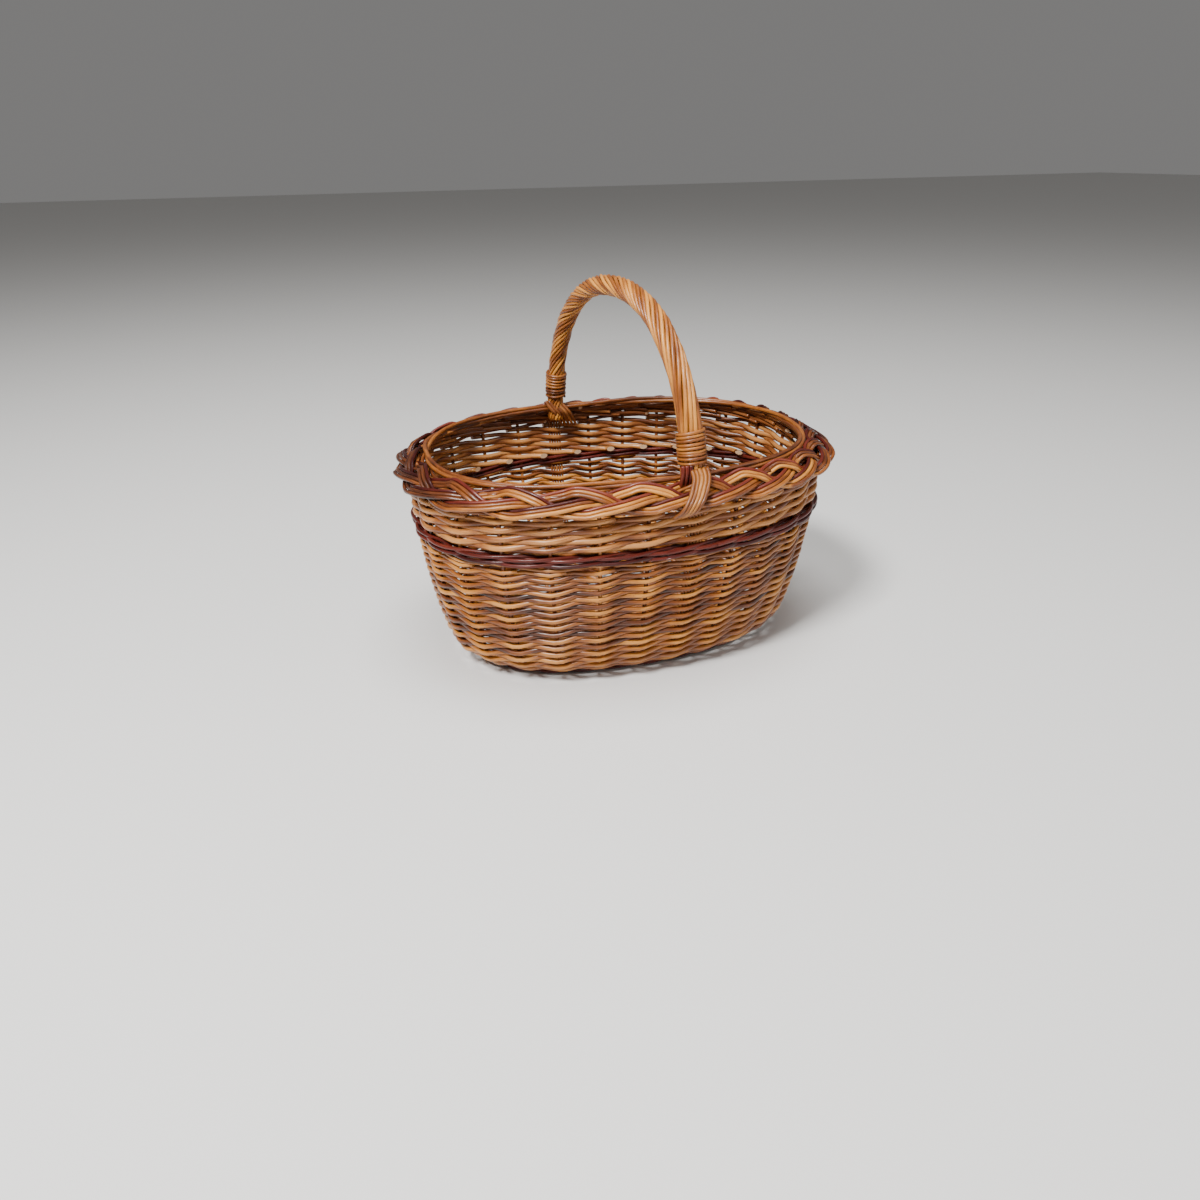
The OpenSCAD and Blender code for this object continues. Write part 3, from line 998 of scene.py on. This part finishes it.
class BASKET_OT_fans(bpy.types.Operator):
    """Lays the rod ends that leave each collar over the border"""
    bl_idname = "basket.fans"
    bl_label = "Fans"

    # Sideways, offset from the wall's centreline, and height, in millimetres
    near_route = [(4, -6, 228), (2, 4, 222), (-4, 13, 214.5), (-10, 18.5, 206.5), (-16, 18, 198),
                  (-20, 11, 191.5)]
    inner_route = [(-8, -6, 232), (-8.5, -4.5, 224), (-9, -6, 215), (-9.5, -9, 205), (-9, -9, 190)]
    far_route = [(6, -18, 226), (2, -21.5, 219), (-4, -22, 212), (-10, -16, 203), (-15, -10, 194)]

    def fan(self, name, node, slot, station, route, count, pitch, seed):
        rng = random.Random(seed)
        piece = RodPiece(name)
        radius = 0.52 * pitch
        for i in range(count):
            shift = (i - (count - 1) / 2) * pitch / MM
            spots = [wall_points(station, spot[1] * MM, BORDER_Z)[0]
                     + (spot[0] + shift) * MM * wall_sideways(station)
                     + np.array([0, 0, spot[2] * MM - BORDER_Z]) for spot in route]
            path = smooth_route(spots, 5)
            piece.rod(path, tapered(len(path), radius, radius * 0.8), rng, rng.uniform(0.4, 0.8))
        piece.finish([node], slot)

    def execute(self, context):
        self.fan("near_fan_willow", "near_fan", "pale_willow", NEAR_FOOT, self.near_route, 5,
                 3.7 * MM, SEED + 16)
        self.fan("far_fan_willow", "far_fan", "shaded_willow", FAR_FOOT, self.far_route, 5,
                 4.2 * MM, SEED + 17)
        self.fan("near_foot_rods", "near_fan", "dark_willow", NEAR_FOOT, self.inner_route, 3,
                 4.0 * MM, SEED + 19)
        return {"FINISHED"}


# ---------------------------------------------------------------- stage

class BASKET_OT_stage(bpy.types.Operator):
    """Sets the floor, the soft lights and the camera"""
    bl_idname = "basket.stage"
    bl_label = "Stage"

    camera_place = (-0.2566, -0.8290, 0.4819)
    camera_yaw = 15.97
    camera_pitch = 27.51
    camera_roll = -0.94
    camera_lens = 26.08

    def floor(self):
        bm = bmesh.new()
        bmesh.ops.create_grid(bm, x_segments=1, y_segments=1, size=12)
        mesh = bpy.data.meshes.new("floor")
        bm.to_mesh(mesh)
        bm.free()
        floor = bpy.data.objects.new("floor", mesh)
        bpy.context.scene.collection.objects.link(floor)
        material = bpy.data.materials.new("pale_floor")
        material.use_nodes = True
        surface = material.node_tree.nodes["Principled BSDF"]
        surface.inputs["Base Color"].default_value = (0.70, 0.69, 0.67, 1)
        surface.inputs["Roughness"].default_value = 0.85
        mesh.materials.append(material)

    def light(self, name, place, target, size, power):
        data = bpy.data.lights.new(name, "AREA")
        data.size = size
        data.energy = power
        lamp = bpy.data.objects.new(name, data)
        lamp.location = place
        aim = Vector(target) - Vector(place)
        lamp.rotation_euler = aim.to_track_quat("-Z", "Y").to_euler()
        bpy.context.scene.collection.objects.link(lamp)

    def camera(self):
        data = bpy.data.cameras.new("camera")
        data.sensor_width = 36
        data.lens = self.camera_lens
        camera = bpy.data.objects.new("camera", data)
        turn = (Matrix.Rotation(math.radians(-self.camera_yaw), 4, "Z")
                @ Matrix.Rotation(math.radians(90 - self.camera_pitch), 4, "X")
                @ Matrix.Rotation(math.radians(self.camera_roll), 4, "Z"))
        camera.matrix_world = Matrix.Translation(self.camera_place) @ turn
        bpy.context.scene.collection.objects.link(camera)
        bpy.context.scene.camera = camera

    def execute(self, context):
        self.floor()
        self.light("key", (-1.2, -1.1, 2.1), (0, 0, 0.12), 0.5, 118)
        self.light("fill", (1.8, -1.2, 1.2), (0, 0, 0.12), 1.6, 12)
        self.light("top", (0.0, -0.3, 2.3), (0, 0, 0.15), 1.0, 38)
        world = bpy.data.worlds.new("soft_room")
        world.use_nodes = True
        background = world.node_tree.nodes["Background"]
        background.inputs["Color"].default_value = (1.0, 0.985, 0.97, 1)
        background.inputs["Strength"].default_value = 0.2
        context.scene.world = world
        self.camera()
        return {"FINISHED"}


# ---------------------------------------------------------------- add-on

PIECE_OPERATORS = (
    BASKET_OT_base, BASKET_OT_stakes, BASKET_OT_lower_siding, BASKET_OT_upper_siding, BASKET_OT_wales,
    BASKET_OT_border, BASKET_OT_border_ends, BASKET_OT_inner_rod, BASKET_OT_handle, BASKET_OT_handle_core,
    BASKET_OT_collars, BASKET_OT_fans, BASKET_OT_stage,
)


class BASKET_PT_pieces(bpy.types.Panel):
    """Lists the basket's pieces and their settings"""
    bl_idname = "BASKET_PT_pieces"
    bl_label = "Willow basket"
    bl_space_type = "VIEW_3D"
    bl_region_type = "UI"
    bl_category = "Basket"

    def draw(self, context):
        for group in (context.scene.basket_rods, context.scene.basket_plait, context.scene.basket_handle):
            box = self.layout.box()
            for name in group.bl_rna.properties.keys():
                if name not in ("rna_type", "name"):
                    box.prop(group, name)
        for operator in PIECE_OPERATORS:
            self.layout.operator(operator.bl_idname)


CLASSES = (BasketRods, BasketPlait, BasketHandle, *PIECE_OPERATORS, BASKET_PT_pieces)


def register():
    for cls in CLASSES:
        bpy.utils.register_class(cls)
    bpy.types.Scene.basket_rods = bpy.props.PointerProperty(type=BasketRods)
    bpy.types.Scene.basket_plait = bpy.props.PointerProperty(type=BasketPlait)
    bpy.types.Scene.basket_handle = bpy.props.PointerProperty(type=BasketHandle)


def unregister():
    del bpy.types.Scene.basket_handle
    del bpy.types.Scene.basket_plait
    del bpy.types.Scene.basket_rods
    for cls in reversed(CLASSES):
        bpy.utils.unregister_class(cls)


def main():
    register()
    for operator in PIECE_OPERATORS:
        group, name = operator.bl_idname.split(".")
        getattr(getattr(bpy.ops, group), name)()


if __name__ == "__main__":
    main()
